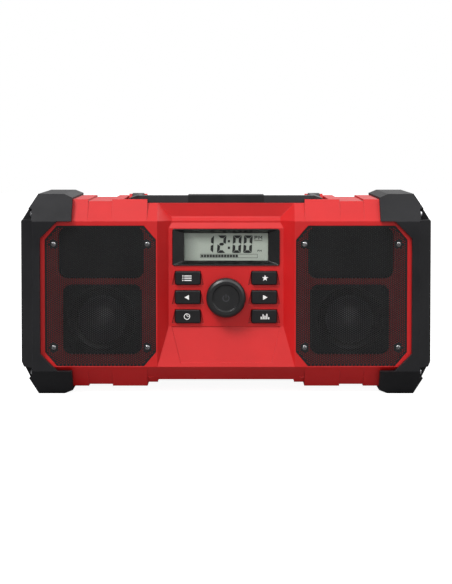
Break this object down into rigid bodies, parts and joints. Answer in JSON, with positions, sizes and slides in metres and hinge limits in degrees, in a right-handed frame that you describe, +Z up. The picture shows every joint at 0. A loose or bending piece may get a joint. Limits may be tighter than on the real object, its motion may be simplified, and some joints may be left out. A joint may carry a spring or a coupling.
{
  "type": "jobsite radio",
  "caption": "Jobsite radio with octagonal speaker grilles, rubber end caps, a sunk console with display, keys and a push-and-turn knob, a folding handle and a battery bay.",
  "frame": {"origin": "under the middle of the footprint, on the surface that the radio stands on", "axes": "+X along the radio to the listener's right, the front faces -Y, +Z up"},
  "size_m": [0.4094, 0.175, 0.2006],
  "materials": {
    "red_plastic": "satin moulded",
    "rubber": "matt",
    "grille_steel": "satin black powder coat",
    "black_plastic": "fine texture",
    "handle_plastic": "satin",
    "grip_rubber": "matt",
    "basket_steel": "black",
    "magnet_ferrite": "ground",
    "cone_paper": "pressed pulp",
    "coil_aluminium": "bare",
    "clear_window": "polished",
    "lcd_glass": "smooth",
    "light_box": "matt",
    "circuit_board": "solder mask",
    "bright_steel": "zinc plated",
    "black_steel": "black oxide",
    "door_plastic": "fine texture",
    "brass": "plated"
  },
  "bodies": {
    "chassis": {"antenna_clips": "black_plastic", "audio_jack": "brass", "baffle_left": "black_plastic", "baffle_right": "black_plastic", "battery_blades": "brass", "battery_terminals": "black_plastic", "board_capacitors": "coil_aluminium", "bumper_left": "rubber", "bumper_right": "rubber", "case_screws": "black_steel", "control_board": "circuit_board", "display_bezel": "black_plastic", "display_light_box": "light_box", "display_window": "clear_window", "door_pin": "bright_steel", "driver_screws": "black_steel", "dust_cap_left": "cone_paper", "dust_cap_right": "cone_paper", "encoder_body": "bright_steel", "end_cap_screws": "bright_steel", "ferrite_antenna": "magnet_ferrite", "front_housing": "red_plastic", "grille_left": "grille_steel", "grille_right": "grille_steel", "grille_screws": "bright_steel", "handle_pins": "bright_steel", "heat_sink": "coil_aluminium", "key_mat": "grip_rubber", "lcd_panel": "lcd_glass", "main_board": "circuit_board", "power_port": "bright_steel", "rear_housing": "red_plastic", "socket_panel": "black_plastic", "speaker_cone_left": "cone_paper", "speaker_cone_right": "cone_paper", "speaker_frame_left": "basket_steel", "speaker_frame_right": "basket_steel", "speaker_magnet_left": "magnet_ferrite", "speaker_magnet_right": "magnet_ferrite", "speaker_surround_left": "grip_rubber", "speaker_surround_right": "grip_rubber", "voice_coil_left": "coil_aluminium", "voice_coil_right": "coil_aluminium"},
    "key_upper_left": {"key_upper_left": "black_plastic"},
    "key_upper_right": {"key_upper_right": "black_plastic"},
    "key_middle_left": {"key_middle_left": "black_plastic"},
    "key_middle_right": {"key_middle_right": "black_plastic"},
    "key_lower_left": {"key_lower_left": "black_plastic"},
    "key_lower_right": {"key_lower_right": "black_plastic"},
    "push_plunger": {"encoder_plunger": "black_plastic"},
    "tuning_knob": {"tuning_knob": "black_plastic", "encoder_shaft": "bright_steel"},
    "handle": {"handle_frame": "handle_plastic", "handle_grip": "grip_rubber"},
    "socket_door": {"socket_door": "door_plastic"}
  },
  "joints": [
    {"name": "key_upper_left_press", "type": "slide", "parent": "chassis", "child": "key_upper_left", "axis": [0, 1, 0], "range_m": [0, 0.0012], "stiffness_N_per_m": 900, "springref_m": -0.0008},
    {"name": "key_upper_right_press", "type": "slide", "parent": "chassis", "child": "key_upper_right", "axis": [0, 1, 0], "range_m": [0, 0.0012], "stiffness_N_per_m": 900, "springref_m": -0.0008},
    {"name": "key_middle_left_press", "type": "slide", "parent": "chassis", "child": "key_middle_left", "axis": [0, 1, 0], "range_m": [0, 0.0012], "stiffness_N_per_m": 900, "springref_m": -0.0008},
    {"name": "key_middle_right_press", "type": "slide", "parent": "chassis", "child": "key_middle_right", "axis": [0, 1, 0], "range_m": [0, 0.0012], "stiffness_N_per_m": 900, "springref_m": -0.0008},
    {"name": "key_lower_left_press", "type": "slide", "parent": "chassis", "child": "key_lower_left", "axis": [0, 1, 0], "range_m": [0, 0.0012], "stiffness_N_per_m": 900, "springref_m": -0.0008},
    {"name": "key_lower_right_press", "type": "slide", "parent": "chassis", "child": "key_lower_right", "axis": [0, 1, 0], "range_m": [0, 0.0012], "stiffness_N_per_m": 900, "springref_m": -0.0008},
    {"name": "knob_push", "type": "slide", "parent": "chassis", "child": "push_plunger", "axis": [0, 1, 0], "range_m": [0, 0.0008], "stiffness_N_per_m": 1500, "springref_m": -0.0008},
    {"name": "knob_turn", "type": "hinge", "parent": "push_plunger", "child": "tuning_knob", "pos_m": [0, -0.0719, 0.097], "axis": [0, -1, 0], "continuous": true},
    {"name": "handle_swing", "type": "hinge", "parent": "chassis", "child": "handle", "pos_m": [0, 0.022, 0.1933], "axis": [-1, 0, 0], "range_deg": [0, 100]},
    {"name": "socket_door_swing", "type": "hinge", "parent": "chassis", "child": "socket_door", "pos_m": [0.124, 0.0784, 0.074], "axis": [-1, 0, 0], "range_deg": [0, 90]}
  ]
}
